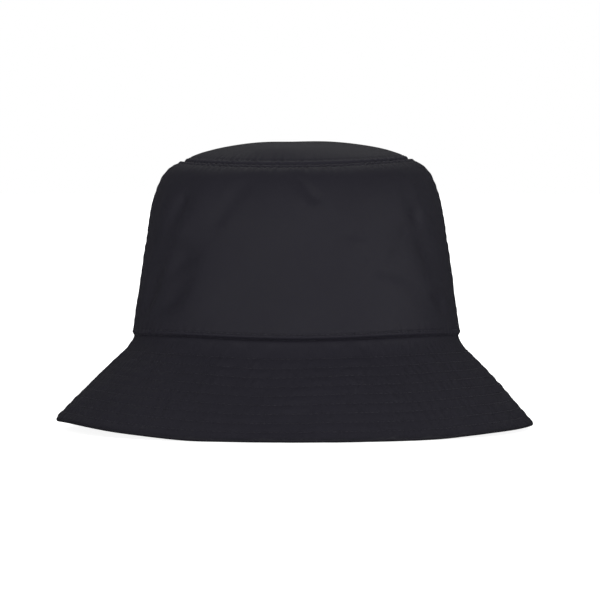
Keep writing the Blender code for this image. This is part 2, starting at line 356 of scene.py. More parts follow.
def spline_weights(t):
    """Weights of four neighbours in a row, for a smooth curve t of the way from the second to the third."""
    return (
        (1 - t) ** 3 / 6,
        (3 * t**3 - 6 * t**2 + 4) / 6,
        (3 * t + 3 * t**2 - 3 * t**3 + 1) / 6,
        t**3 / 6,
    )


def slack_at(theta, z):
    """The crown's give at any plan angle and height, read smoothly from the grid that settled_wall made."""
    column = theta / FULL_TURN * SLACK_COLUMNS
    row = np.clip((z - SEAM_Z) / (TIP_SEAM_Z - SEAM_Z), 0, 1) * (SLACK_ROWS - 1)
    first_column, first_row = np.floor(column).astype(int), np.floor(row).astype(int)
    total = 0.0
    for i, row_weight in enumerate(spline_weights(row - first_row)):
        rows = np.clip(first_row + i - 1, 0, SLACK_ROWS - 1)
        for j, column_weight in enumerate(spline_weights(column - first_column)):
            columns = (first_column + j - 1) % SLACK_COLUMNS
            total = total + row_weight * column_weight * slack[rows, columns]
    return total


def brim_wave(theta, z):
    """Slow waves of the brim."""
    return WAVE * crinkle(26, theta, z, turns=(3, 9), slant=30, count=8)


def edge_rise(theta):
    """How far the brim's edge rises: most at its sides, and less on the wearer's left."""
    ahead, aside = -np.sin(theta), np.cos(theta)
    return SIDE_LIFT * aside**2 - EDGE_TILT * aside * np.abs(aside) + CORNER_LIFT * aside**4 * np.abs(ahead)


def on_oval(theta, radius, z):
    """Points of the hat as it stands. All layers give way together: the crown to its folds, the brim to slow
    waves. The brim's edge rises at the sides and the seams sway a little."""
    theta, radius, z = np.broadcast_arrays(theta, radius, z)
    ahead, aside = -np.sin(theta), np.cos(theta)
    depth = radius + OVAL * np.clip(radius / POLE, 0, 1)
    wave = brim_wave(theta, z) * smooth_step(SEAM_Z - z, 0.002, 0.020)
    # The seam draws in the outer layers most, and the front and rear more than the sides.
    inside = smooth_step(crown_radius(z) - radius, 0.0012, 0.0034)
    pinch = SEAM_PINCH * np.exp(-np.abs(z - SEAM_Z) / CREASE) * (1 - 0.8 * aside**4) * (1 - 0.7 * inside)
    outward = slack_at(theta, z) + WAVE_OUT * wave - pinch
    below = np.interp(z, [0, SEAM_Z], [1, 0])
    rise = edge_rise(theta)
    # Where the edge would hang below the table, it stands on it and gives upwards.
    hang = EDGE_DROP - rise - WAVE_UP * brim_wave(theta, 0)
    stand = (hang + np.hypot(hang, EDGE_EASE)) / 2 * below**4
    seam_sway = SEAM_SWAY * (2 * ahead * aside) ** 2 * np.interp(z, [0, SEAM_Z, TIP_SEAM_Z], [0, 1, 0])
    tip_share = np.interp(z, [SEAM_Z, TIP_SEAM_Z, TOP_Z], [0, 1, 0]) * smooth_step(radius, 0, POLE)
    tip_sway = tip_share * (TIP_TILT * aside - TIP_DIP * np.clip(ahead, 0, None) ** 2)
    x = (radius + outward) * np.cos(theta) - EDGE_SHIFT * below
    y = (depth + outward) * np.sin(theta)
    return np.stack([x, y, z + WAVE_UP * wave + rise * below + stand + seam_sway + tip_sway], axis=-1)


def grid(start, stop, columns, length, rows, *close):
    """Plan angles and distances along an outline, for each point of a grid. Each (distance, times, width) in
    close draws the rows together round that distance, so many times closer than elsewhere."""
    fine = np.linspace(0, length, 4000)
    density = np.ones_like(fine)
    for at, times, width in close:
        density += (times - 1) * hump(fine - at, width)
    count = np.cumsum(density) - density[0]
    distance = np.interp(np.linspace(0, count[-1], rows), count, fine)
    return np.meshgrid(np.linspace(start, stop, columns), distance)


def slanted(theta):
    """Plan angles of a panel's inner face, so that its ends slant."""
    return theta - SEAM_SLANT / SEAM_RADIUS


def face(outline, relief, theta, distance, depth=0.0):
    """Points of a sheet's face, or at a depth under it."""
    return on_oval(theta, *outline.read(distance, relief(theta, distance) - depth))


def front_and_rear(slit_radius):
    """Name endings and plan angles of the two halves that meet at the side seams."""
    slit = SEAM_SLIT / slit_radius
    return (
        ("front", FRONT - HALF_TURN / 2 + slit, FRONT + HALF_TURN / 2 - slit),
        ("rear", REAR - HALF_TURN / 2 + slit, REAR + HALF_TURN / 2 - slit),
    )


# ---- relief of the cloth, as a lift off its outline ----
# Profiles of the seams: the fold at the seam itself, the cloth turned in beside it and its row of stitches.
BASE_SEAM = ((0, -0.00050, 0.0013), (0.0016, 0.00018, 0.0009), (BASE_STITCH, -0.00030, 0.0006))
TIP_SEAM = ((0, -0.00070, 0.0008), (0.0019, 0.00030, 0.0011), (TIP_STITCH, -0.00030, 0.0006))
SIDE_SEAM = ((0, -0.00060, 0.0007), (0.0014, 0.00022, 0.0010), (SIDE_STITCH, -0.00025, 0.0005))
TIP_EDGE = ((0, -0.00060, 0.0008), (0.0019, 0.00028, 0.0011), (TIP_STITCH, -0.00030, 0.0006))


def from_side_seam(theta, radius):
    """Distance round the hat to the nearer side seam, positive towards the front."""
    towards_front = -np.sin(theta)
    return radius * np.arcsin(np.clip(towards_front, -1, 1))


def wall_relief(theta, distance):
    """The wall is read from the brim seam upwards. It puckers along its seams."""
    left = wall.length - distance
    seam = from_side_seam(theta, wall.read(distance)[0])
    relief = ridges(distance, BASE_SEAM) + ridges(left, TIP_SEAM) + ridges(seam, SIDE_SEAM)
    base_puckers = 0.00009 * hump(distance - BASE_STITCH, 0.0030)
    tip_puckers = 0.00016 * hump(left - TIP_STITCH, 0.0040)
    side_puckers = 0.00010 * hump(seam - SIDE_STITCH, 0.0030)
    relief = relief + (base_puckers + tip_puckers) * crinkle(3, theta, distance, turns=(60, 130), slant=60)
    return relief + side_puckers * crinkle(4, 0, distance, turns=(0, 1), slant=1500)


def plan_place(outline, theta, distance):
    """Where a point of a dome is, seen from above."""
    radius = outline.read(distance)[0]
    return radius * np.cos(theta), radius * np.sin(theta)


def tip_relief(theta, distance):
    """The tip is read from its rim inwards. It puckers along its seam and is slack in its middle."""
    x, y = plan_place(tip, theta, distance)
    slack = 0.00060 * np.sin(52 * x + 31 * y + 0.4) * np.cos(24 * x - 47 * y + 1.1)
    slack = slack + 0.00016 * np.sin(130 * x - 70 * y) * np.sin(90 * y + 40 * x)
    puckers = 0.00012 * hump(distance - TIP_STITCH, 0.0040)
    puckers = puckers * crinkle(13, theta, distance, turns=(50, 110), slant=60)
    return ridges(distance, TIP_EDGE) + puckers + smooth_step(distance, 0.003, 0.016) * slack


def brim_relief(theta, distance, side):
    """Side 0 is the upper face and 1 the under face. The cloth swells between the stitch rows and puckers."""
    first, last = row_distances[0], row_distances[-1]
    swell = np.abs(np.sin(math.pi * (distance - first) / ROW_PITCH)) ** 0.7
    hem = np.clip(distance / first, 0, 1)
    swell = np.where(distance < first, 1.1 * np.sin(math.pi * hem) ** 0.6, swell)
    rest = np.clip((distance - last) / (BRIM_SLOPE - last), 0, 1)
    swell = np.where(distance > last, 0.6 * np.sin(math.pi * rest) ** 0.8, swell)
    band = 0.75 + 0.25 * crinkle(20 + side, theta, distance, turns=(4, 17), slant=300)
    fine = crinkle(22 + side, theta, distance, turns=(70, 150), slant=380, count=20)
    coarse = crinkle(24 + side, theta, distance, turns=(14, 44), slant=260, count=16)
    relief = swell * (0.00036 * band + 0.00011 * fine + 0.00013 * coarse) + 0.00007 * coarse - 0.00018
    return smooth_step(BRIM_SLOPE - distance, 0.000, 0.006) * relief


# ---- meshes ----
def rim_faces(rows, columns, wrap):
    """Faces that join the outer grid's border to the inner grid's."""
    count = rows * columns
    bottom = np.arange(columns)
    top = (rows - 1) * columns + np.arange(columns)
    faces = []
    for line, turned in ((bottom, True), (top, False)):
        ends = np.roll(line, -1) if wrap else line[1:]
        starts = line if wrap else line[:-1]
        quads = np.stack([starts, ends, ends + count, starts + count], axis=-1)
        faces.append(quads[:, ::-1] if turned else quads)
    if not wrap:
        first = np.arange(rows) * columns
        last = first + columns - 1
        for line, turned in ((first, False), (last, True)):
            quads = np.stack([line[:-1], line[1:], line[1:] + count, line[:-1] + count], axis=-1)
            faces.append(quads[:, ::-1] if turned else quads)
    return np.concatenate(faces)


def make_mesh(name, points, faces, uv, material, wear_and_shade=None):
    """A smooth object. Per-point values make its cloth paler above 0, from wear, and darker below 0, which is
    painted shade.
    """
    mesh = bpy.data.meshes.new(name)
    mesh.vertices.add(len(points))
    mesh.vertices.foreach_set("co", np.ascontiguousarray(points, np.float32).ravel())
    sides = faces.shape[1]
    mesh.loops.add(faces.size)
    mesh.loops.foreach_set("vertex_index", faces.ravel().astype(np.int32))
    mesh.polygons.add(len(faces))
    mesh.polygons.foreach_set("loop_start", np.arange(0, faces.size, sides, dtype=np.int32))
    mesh.update(calc_edges=True)
    layer = mesh.uv_layers.new(name="cloth")
    layer.data.foreach_set("uv", uv[faces.ravel()].astype(np.float32).ravel())
    if wear_and_shade is not None:
        attribute = mesh.attributes.new("wear_and_shade", "FLOAT", "POINT")
        attribute.data.foreach_set("value", wear_and_shade.astype(np.float32).ravel())
    mesh.shade_smooth()
    mesh.materials.append(material)
    piece = bpy.data.objects.new(name, mesh)
    bpy.context.scene.collection.objects.link(piece)
    return piece


def sheet(name, outer, inner, uv, material, wrap=False, wear_and_shade=None):
    """A closed sheet of cloth between two grids of points. uv is in metres of cloth."""
    rows, columns = outer.shape[:2]
    points = np.concatenate([outer.reshape(-1, 3), inner.reshape(-1, 3)])
    front = grid_faces(rows, columns, wrap)
    back = front[:, ::-1] + rows * columns
    faces = np.concatenate([front, back, rim_faces(rows, columns, wrap)])
    flat = np.concatenate([uv.reshape(-1, 2)] * 2)
    if wear_and_shade is not None:
        wear_and_shade = np.concatenate([wear_and_shade.ravel()] * 2)
    piece = make_mesh(name, points, faces, flat, material, wear_and_shade)
    edit = bmesh.new()
    edit.from_mesh(piece.data)
    bmesh.ops.remove_doubles(edit, verts=edit.verts, dist=1e-6)
    bmesh.ops.recalc_face_normals(edit, faces=edit.faces)
    edit.to_mesh(piece.data)
    edit.free()
    piece.data.set_sharp_from_angle(angle=math.radians(60))
    return piece


STRAND_RINGS, STRAND_SIDES = 7, 6


def strand_faces(number):
    """Faces of strands whose points are numbered by strand and then by ring. Two quads close each end."""
    base = np.arange(number)[:, None, None] * STRAND_RINGS * STRAND_SIDES
    here = base + np.arange(STRAND_RINGS - 1)[:, None] * STRAND_SIDES
    above = here + STRAND_SIDES
    side = np.arange(STRAND_SIDES)
    following = (side + 1) % STRAND_SIDES
    quads = np.stack([above + side, above + following, here + following, here + side], axis=-1)
    first = base + np.array([(0, 1, 2, 3), (3, 4, 5, 0)])
    last = first[..., ::-1] + (STRAND_RINGS - 1) * STRAND_SIDES
    return np.concatenate([faces.reshape(-1, 4) for faces in (quads, first, last)])


def strands(points, normals, pitch, length):
    """Points of the stitches along one line, and their places on the thread. A stitch is a short bowed strand
    whose ends dive into the cloth."""
    t = np.linspace(-1, 1, STRAND_RINGS)
    thick = THREAD_RADIUS * np.sqrt(np.clip(1 - (0.96 * t) ** 6, 0.02, 1))
    bow = THREAD_RADIUS * (0.75 - 1.9 * np.abs(t) ** 4)
    turn = np.linspace(0, FULL_TURN, STRAND_SIDES, endpoint=False)
    steps = np.linalg.norm(np.diff(points, axis=0), axis=1)
    at = np.concatenate([[0], np.cumsum(steps)])
    number = max(1, int(at[-1] / pitch))
    centres = (np.arange(number) + 0.5) * at[-1] / number
    along_at = centres[:, None] + t * length / 2
    centre = np.stack([np.interp(along_at, at, points[:, i]) for i in range(3)], axis=-1)
    normal = unit(np.stack([np.interp(along_at, at, normals[:, i]) for i in range(3)], axis=-1))
    across = np.cross(unit(np.gradient(centre, axis=1)), normal)
    centre = centre + normal * bow[:, None]
    ring = across[:, :, None] * np.cos(turn)[:, None] + normal[:, :, None] * np.sin(turn)[:, None]
    strand = centre[:, :, None] + ring * thick[:, None, None]
    u = np.broadcast_to(along_at[:, :, None], strand.shape[:3])
    v = np.broadcast_to(turn * THREAD_RADIUS, strand.shape[:3])
    return strand.reshape(-1, 3), np.stack([u, v], axis=-1).reshape(-1, 2)


def stitch_row(name, lines, pitch=STITCH_PITCH, length=STITCH_LENGTH):
    """One mesh of many stitches. Each line is (points, normals): a dense polyline on the cloth's surface and
    the cloth's outward direction there."""
    made = [strands(points, normals, pitch, length) for points, normals in lines]
    points = np.concatenate([points for points, uv in made])
    uv = np.concatenate([uv for points, uv in made])
    faces = strand_faces(len(points) // (STRAND_RINGS * STRAND_SIDES))
    return make_mesh(name, points, faces, uv, thread)


def line_on(outline, relief, theta, distance):
    """A line on a sheet's relief, with the cloth's outward direction, for stitch_row."""
    points = face(outline, relief, theta, distance)
    return points, unit(face(outline, relief, theta, distance, -PROBE) - points)


# ---- materials ----
def new_material(name, colour, roughness, specular, sheen=0.0):
    material = bpy.data.materials.new(name)
    material.use_nodes = True
    shader = material.node_tree.nodes["Principled BSDF"]
    shader.inputs["Base Color"].default_value = (*colour, 1)
    shader.inputs["Roughness"].default_value = roughness
    shader.inputs["Specular IOR Level"].default_value = specular
    shader.inputs["Sheen Weight"].default_value = sheen
    shader.inputs["Sheen Roughness"].default_value = 0.4
    shader.inputs["Sheen Tint"].default_value = (0.86, 0.88, 1.0, 1)
    return material, material.node_tree, shader


class Nodes:
    """Short calls for building a node tree."""

    def __init__(self, tree):
        self.tree = tree

    def add(self, kind, **settings):
        made = self.tree.nodes.new(kind)
        for key, value in settings.items():
            setattr(made, key, value)
        return made

    def join(self, out, into):
        self.tree.links.new(out, into)

    def math(self, operation, *values):
        made = self.add("ShaderNodeMath", operation=operation)
        for value, socket in zip(values, made.inputs):
            if isinstance(value, (int, float)):
                socket.default_value = value
            else:
                self.join(value, socket)
        return made.outputs[0]

    def noise(self, vector, scale, detail):
        made = self.add("ShaderNodeTexNoise")
        made.inputs["Scale"].default_value = scale
        made.inputs["Detail"].default_value = detail
        self.join(vector, made.inputs["Vector"])
        return made.outputs["Fac"]

    def wave(self, value, pitch):
        """0 to 1 and back over each pitch."""
        turned = self.math("MULTIPLY", value, FULL_TURN / pitch)
        return self.math("MULTIPLY_ADD", self.math("SINE", turned), 0.5, 0.5)

    def tinted(self, colour, tone):
        """A colour made lighter or darker by a tone, where 1 leaves it."""
        tint = self.add("ShaderNodeVectorMath", operation="SCALE")
        tint.inputs[0].default_value = colour
        self.join(tone, tint.inputs["Scale"])
        return tint.outputs[0]

    def bump(self, height, strength, distance):
        made = self.add("ShaderNodeBump")
        made.inputs["Strength"].default_value = strength
        made.inputs["Distance"].default_value = distance
        self.join(height, made.inputs["Height"])
        return made.outputs[0]


def cloth(name, colour, weave, pitch, relief, roughness, sheen, specular=0.35, mottle=0.22):
    """A woven cloth: twill, plain or herringbone, with yarns at a pitch in metres. Its colour varies in soft
    patches and from yarn to yarn. A per-point value makes it paler above 0, for worn edges, and darker
    below 0, which is painted shade."""
    material, tree, shader = new_material(name, colour, roughness, specular, sheen)
    n = Nodes(tree)
    place = n.add("ShaderNodeTexCoord")
    split = n.add("ShaderNodeSeparateXYZ")
    n.join(place.outputs["UV"], split.inputs[0])
    u, v = split.outputs[0], split.outputs[1]
    if weave == "plain":
        height = n.math("MULTIPLY", n.wave(u, pitch), n.wave(v, pitch))
    else:
        if weave == "herringbone":
            u = n.math("PINGPONG", u, pitch * 7)
        ribs = n.wave(n.math("ADD", u, v), pitch)
        yarns = n.wave(n.math("SUBTRACT", u, n.math("MULTIPLY", v, 0.25)), pitch * 0.5)
        height = n.math("ADD", n.math("MULTIPLY", ribs, 0.7), n.math("MULTIPLY", yarns, 0.3))
    fuzz = n.noise(place.outputs["Object"], 2600, 3)
    patches = n.noise(place.outputs["Object"], 28, 4)
    # The point attribute read here is wear above 0 and painted shade below 0.
    wear_and_shade_node = n.add("ShaderNodeAttribute", attribute_name="wear_and_shade")
    tone = n.math("ADD", n.math("MULTIPLY", height, 0.30), n.math("MULTIPLY", fuzz, 0.45))
    tone = n.math("ADD", tone, n.math("MULTIPLY", patches, 0.5))
    tone = n.math("MULTIPLY_ADD", n.math("SUBTRACT", tone, 0.6), mottle, 1.0)
    tone = n.math("ADD", tone, n.math("MULTIPLY", wear_and_shade_node.outputs["Fac"], 0.45))
    n.join(n.tinted(colour, tone), shader.inputs["Base Color"])
    rough = n.math("ADD", n.math("MULTIPLY", fuzz, 0.10), roughness - 0.05)
    n.join(rough, shader.inputs["Roughness"])
    surface = n.math("ADD", height, n.math("MULTIPLY", fuzz, 0.7))
    n.join(n.bump(surface, 0.6, relief), shader.inputs["Normal"])
    return material


def thread_material(name, colour):
    """Twisted sewing thread: fine slanting plies."""
    material, tree, shader = new_material(name, colour, roughness=0.55, specular=0.25, sheen=0.05)
    n = Nodes(tree)
    place = n.add("ShaderNodeTexCoord")
    split = n.add("ShaderNodeSeparateXYZ")
    n.join(place.outputs["UV"], split.inputs[0])
    twist = n.wave(n.math("ADD", split.outputs[0], n.math("MULTIPLY", split.outputs[1], 0.8)), 0.00055)
    fuzz = n.noise(place.outputs["Object"], 5000, 2)
    tone = n.math("ADD", n.math("MULTIPLY", twist, 0.35), n.math("MULTIPLY", fuzz, 0.4))
    n.join(n.tinted(colour, n.math("ADD", tone, 0.65)), shader.inputs["Base Color"])
    n.join(n.bump(twist, 0.8, 0.00008), shader.inputs["Normal"])
    return material


NEAR_BLACK = (0.0130, 0.0121, 0.0178)
LINING_BLACK = (0.016, 0.016, 0.020)
BAND_BLACK = (0.014, 0.014, 0.016)
FELT_GREY = (0.30, 0.30, 0.31)
SATIN_WHITE = (0.70, 0.69, 0.66)
LABEL_GREY = (0.035, 0.035, 0.040)
THREAD_BLACK = (0.0150, 0.0140, 0.0200)

shell_cloth = cloth(
    "shell_twill", NEAR_BLACK, "twill",
    pitch=0.00060, relief=0.00008, roughness=0.55, sheen=0.02, specular=0.15,
)
lining_cloth = cloth(
    "lining_plain", LINING_BLACK, "plain",
    pitch=0.00030, relief=0.00003, roughness=0.55, sheen=0.1, specular=0.5,
)
band_cloth = cloth(
    "sweatband_herringbone", BAND_BLACK, "herringbone",
    pitch=0.0008, relief=0.00012, roughness=0.85, sheen=0.2,
)
stiffener_cloth = cloth(
    "stiffener_felt", FELT_GREY, "plain",
    pitch=0.0004, relief=0.00005, roughness=0.95, sheen=0.3,
)
care_cloth = cloth(
    "care_satin", SATIN_WHITE, "plain",
    pitch=0.00025, relief=0.00002, roughness=0.45, sheen=0.2, specular=0.5, mottle=0.06,
)
woven_cloth = cloth(
    "woven_damask", LABEL_GREY, "twill",
    pitch=0.00035, relief=0.00004, roughness=0.50, sheen=0.2, specular=0.5,
)
thread = thread_material("sewing_thread", THREAD_BLACK)


def settle(piece, slot, *nodes, body="hat"):
    """Puts a piece on its body, in place of its CAD nodes."""
    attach(piece, body)
    if nodes:
        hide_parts(*nodes)


# ---- crown ----
def make_crown_panels():
    rows, columns = 136, 356
    close = (0, 7, 0.0020), (BASE_STITCH, 2, 0.0016), (wall.length, 4, 0.0045)
    for ending, start, stop in front_and_rear(SEAM_RADIUS):
        theta, distance = grid(start, stop, columns, wall.length, rows, *close)
        outer = face(wall, wall_relief, theta, distance)
        inner = face(wall, wall_relief, slanted(theta), distance, SHELL)
        uv = np.stack([theta * SEAM_RADIUS, distance], axis=-1)
        wear_and_shade = 0.2 * hump(distance - 0.0016, 0.0008) + 0.5 * hump(wall.length - distance - 0.0018, 0.0010)
        piece = sheet(f"crown_{ending}", outer, inner, uv, shell_cloth, wear_and_shade=wear_and_shade)
        settle(piece, "shell_fabric", f"crown_panel_{ending}")


def make_tip():
    rows, columns = 66, 560
    theta, distance = grid(0, FULL_TURN * (1 - 1 / columns), columns, tip.length, rows)
    # The rim turns down inside the wall.
    drops = np.array([[1.0], [0.6], [0.25]]) * TIP_RIM
    rim_radius, rim_z = tip.read(0, tip_relief(theta[:1], 0))
    rim_outer = on_oval(theta[:1], rim_radius - RIM_PLAY, rim_z - drops)
    rim_inner = on_oval(theta[:1], rim_radius - RIM_PLAY - SHELL, rim_z - drops)
    outer = np.concatenate([rim_outer, face(tip, tip_relief, theta, distance)])
    inner = np.concatenate([rim_inner, face(tip, tip_relief, theta, distance, SHELL)])
    wear_and_shade = 0.6 * hump(distance - 0.0018, 0.0010)
    wear_and_shade = np.concatenate([np.zeros((len(drops), columns)), wear_and_shade])
    piece = sheet("tip", outer, inner, outer[..., :2], shell_cloth, wrap=True, wear_and_shade=wear_and_shade)
    settle(piece, "shell_fabric", "crown_tip")


# ---- brim ----
def brim_half_thickness(distance):
    """Half the brim's thickness, rounded off at its edge."""
    t = np.clip(1 - distance / BRIM_ROUNDING, 0, 1)
    return np.maximum(BRIM_THICKNESS / 2 * np.sqrt(1 - t**2), PLY_LEAST)


def brim_face(theta, distance, side, depth=0.0):
    """Points of the upper (0) or under (1) face, or of the ply's inner side at a depth under it."""
    flip = 1 if side == 0 else -1
    half = brim_half_thickness(distance)
    # The relief fades out at the brim's edge.
    ease = np.clip(distance / 0.0015, 0, 1)
    out = np.maximum(half + ease * brim_relief(theta, distance, side) - depth, PLY_APART)
    # The outline runs along the upper face, half a thickness above the brim's middle.
    return on_oval(theta, *brim.read(distance, flip * out - BRIM_THICKNESS / 2))


def make_brim_plies():
    rows, columns = 104, 460
    close = (0, 3, 0.0020), (BRIM_SLOPE, 6, 0.0018)
    for ending, start, stop in front_and_rear(BRIM_RADIUS):
        for side, ply in ((0, "upper"), (1, "under")):
            theta, distance = grid(start, stop, columns, brim.length, rows, *close)
            outer = brim_face(theta, distance, side)
            inner = brim_face(slanted(theta), distance, side, SHELL)
            uv = np.stack([theta * (SEAM_RADIUS + BRIM_RADIUS) / 2, distance], axis=-1)
            # Painted shade: the cloth darkens towards the brim's edge, where the rolled hem lies in shadow.
            shade = -0.7 * hump(distance, 0.0016)
            piece = sheet(f"brim_{ply}_ply_{ending}", outer, inner, uv, shell_cloth, wear_and_shade=shade)
            settle(piece, "shell_fabric", f"brim_{ply}_{ending}")


def make_stiffener():
    rows, columns = 24, 160
    for ending, start, stop in front_and_rear(BRIM_RADIUS):
        theta, distance = grid(start, stop, columns, BRIM_SLOPE - STIFFENER_SHORTER, rows)
        distance = distance + STIFFENER_START
        outer = on_oval(theta, *brim.read(distance, (STIFFENER - BRIM_THICKNESS) / 2))
        inner = on_oval(slanted(theta), *brim.read(distance, (-STIFFENER - BRIM_THICKNESS) / 2))
        uv = np.stack([theta * BRIM_RADIUS, distance], axis=-1)
        piece = sheet(f"stiffener_{ending}", outer, inner, uv, stiffener_cloth)
        settle(piece, "stiffener", f"brim_stiffener_{ending}")


# ---- inside ----
def lining_outline():
    """The lining lies close inside the wall, and draws in towards its own smaller top."""
    z = np.linspace(SEAM_Z + 0.010, LINING_TIP_Z, 200)
    share = (z - z[0]) / (z[-1] - z[0])
    depth = SHELL * 2 + 0.0002
    slack = crown_radius(z[-1]) - depth - LINING_TIP_RADIUS - 0.0007
    return Outline(crown_radius(z) - depth - slack * share**3, z)


lining_side = lining_outline()
lining_dome = dome(LINING_TIP_RADIUS, LINING_TOP_Z, LINING_TOP_Z - LINING_TIP_Z)


def lining_relief(theta, distance):
    """Slack lining: folds that run up to the tip seam, where it's gathered a little."""
    free = smooth_step(distance, 0.018, 0.045) * smooth_step(lining_side.length - distance, 0.0, 0.012)
    folds = 0.00065 * crinkle(31, theta, distance, turns=(9, 26), slant=40, count=12)
    small = 0.00022 * crinkle(32, theta, distance, turns=(30, 70), slant=120, count=12)
    seam = from_side_seam(theta, SEAM_RADIUS)
    return free * (folds + small - 0.0006) - 0.0004 * hump(seam, 0.0009)


def lining_tip_relief(theta, distance):
    """The lining's top is gathered a little at its seam and slack in its middle."""
    x, y = plan_place(lining_dome, theta, distance)
    slack = 0.0007 * np.sin(61 * x - 38 * y + 0.9) * np.cos(33 * x + 57 * y - 0.5)
    slack = slack + 0.00021 * np.sin(150 * x + 80 * y) * np.sin(120 * y - 60 * x)
    gathers = 0.00022 * hump(distance - 0.004, 0.007)
    gathers = gathers * crinkle(33, theta, distance, turns=(24, 70), slant=120)
    return gathers - 0.0005 * hump(distance, 0.001) + smooth_step(distance, 0, 0.014) * slack


def make_lining_panels():
    rows, columns = 72, 300
    for ending, start, stop in front_and_rear(SEAM_RADIUS):
        theta, distance = grid(start, stop, columns, lining_side.length, rows)
        outer = face(lining_side, lining_relief, theta, distance)
        inner = face(lining_side, lining_relief, slanted(theta), distance, LINING)
        uv = np.stack([theta * SEAM_RADIUS, distance], axis=-1)
        piece = sheet(f"lining_{ending}", outer, inner, uv, lining_cloth)
        settle(piece, "lining_fabric", f"lining_panel_{ending}")


def make_lining_top():
    rows, columns = 44, 400
    theta, distance = grid(0, FULL_TURN * (1 - 1 / columns), columns, lining_dome.length, rows)
    outer = face(lining_dome, lining_tip_relief, theta, distance)
    inner = face(lining_dome, lining_tip_relief, theta, distance, LINING)
    piece = sheet("lining_top", outer, inner, outer[..., :2], lining_cloth, wrap=True)
    settle(piece, "lining_fabric", "lining_tip")


band_z = np.linspace(band_low.z, band_high.z, 100)
BAND_DEPTH = SEAM_RADIUS - band_high.x - CROWN_TAPER * (SEAM_Z - band_low.z)
band_line = Outline(crown_radius(band_z) - BAND_DEPTH - BAND, band_z)


def band_relief(theta, distance):
    """Lift of the band's inner face towards the wall. Its stitching draws it in, and its top waves."""
    left = band_line.length - distance
    relief = 0.00030 * hump(distance - BAND_STITCH, 0.0007) - 0.00015 * hump(left - 0.0012, 0.0010)
    puckers = 0.00010 * hump(distance - BAND_STITCH, 0.004)
    puckers = puckers * crinkle(41, theta, distance, turns=(60, 120), slant=80)
    waves = 0.5 * (1 + crinkle(42, theta, distance, turns=(5, 16), slant=30))
    return relief + puckers - 0.00035 * smooth_step(distance, 0.012, band_line.length) * waves


def make_sweatband():
    rows, columns = 40, 700
    slit = BAND_SLIT / SEAM_RADIUS
    start, stop = REAR + slit, REAR + FULL_TURN - slit
    theta, distance = grid(start, stop, columns, band_line.length, rows, (0, 3, 0.004))
    inner = face(band_line, band_relief, theta, distance)
    outer = face(band_line, band_relief, theta, distance, -BAND)
    uv = np.stack([theta * SEAM_RADIUS, distance], axis=-1)
    wear_and_shade = 0.5 * hump(band_line.length - distance, 0.0012)
    piece = sheet("sweatband_tape", outer, inner, uv, band_cloth, wear_and_shade=wear_and_shade)
    settle(piece, "sweatband_tape", "sweatband")


def make_woven_label():
    """A blank folded label on the lining at the back, sewn down along its ends."""
    rows, columns = 24, 60
    start = np.interp(woven_low.z, lining_side.points[:, 1], lining_side.at)
    stop = np.interp(woven_high.z, lining_side.points[:, 1], lining_side.at)
    half = math.asin(woven_high.x / lining_side.read(start)[0])
    thick, play, most_puff = 0.0005, 0.0002, 0.0005
    end_inset, side_inset = 0.0016, 0.0006  # from its edges to its stitches

    def label_relief(theta, distance):
        """It lies on the lining, and puffs out between its edges."""
        across = (theta - REAR) / half
        along = 2 * (distance - start) / (stop - start) - 1
        puff = most_puff * (1 - across**6) * (1 - along**6)
        return np.minimum(lining_relief(theta, distance), 0) - LINING - play - puff

    theta, distance = grid(REAR - half, REAR + half, columns, stop - start, rows)
    distance = distance + start
    outer = face(lining_side, label_relief, theta, distance)
    inner = face(lining_side, label_relief, theta, distance, thick)
    uv = np.stack([theta * SEAM_RADIUS, distance], axis=-1)
    piece = sheet("woven_label_blank", outer, inner, uv, woven_cloth)
    settle(piece, "woven_label_fabric", "woven_label")
    down = np.linspace(start + side_inset, stop - side_inset, 80)
    lines = []
    for end in (-1, 1):
        theta = REAR + end * (half - end_inset / SEAM_RADIUS)
        points = face(lining_side, label_relief, theta, down, thick)
        lines.append((points, unit(face(lining_side, label_relief, theta, down, thick + PROBE) - points)))
    piece = stitch_row("woven_label_stitches", lines, LABEL_STITCH_PITCH, LABEL_STITCH_LENGTH)
    settle(piece, "thread")


def make_care_label():
    """A blank satin flap. It curls a little towards its free end."""
    rows, columns = 40, 24
    width, length = care_high.x - care_low.x, care_high.z - care_low.z
    thick = care_high.y - care_low.y
    middle = (care_high.y + care_low.y) / 2
    x, down = np.meshgrid(np.linspace(-width / 2, width / 2, columns), np.linspace(length, 0.0003, rows))
    share = down / length
    curl = -0.0012 * share**2 * (1 + 0.5 * (2 * x / width) ** 2) + 0.0004 * np.sin(5 * share) * share
    z = care_high.z - down
    outer = np.stack([x, middle + curl + thick / 2, z], axis=-1)
    inner = np.stack([x, middle + curl - thick / 2, z], axis=-1)
    piece = sheet("care_label_flap", outer, inner, np.stack([x, down], axis=-1), care_cloth)
    settle(piece, "care_label_fabric", "care_label", body="care_label")


# ---- stitching ----
def brim_line(theta, distance, side):
    """A stitch line on the brim's upper or under face."""
    points = brim_face(theta, distance, side)
    return points, unit(points - brim_face(theta, distance, side, depth=0.0004))


def make_brim_stitching(theta):
    names = ["brim_hem_stitch"] + [f"brim_row_stitch_{row}" for row in range(1, ROW_COUNT)]
    for name, distance in zip(names, row_distances):
        lines = [brim_line(theta, distance, side) for side in (0, 1)]
        settle(stitch_row(name.replace("stitch", "stitches"), lines), "thread", name)


def make_crown_stitching(theta):
    rows = (
        ("crown_base_stitches", "crown_base_stitch", wall, wall_relief, BASE_STITCH),
        ("tip_lower_stitches", "tip_seam_lower_stitch", wall, wall_relief, wall.length - TIP_STITCH),
        ("tip_upper_stitches", "tip_seam_upper_stitch", tip, tip_relief, TIP_STITCH),
    )
    for name, node, outline, relief, distance in rows:
        lines = [line_on(outline, relief, theta, distance)]
        settle(stitch_row(name, lines), "thread", node)


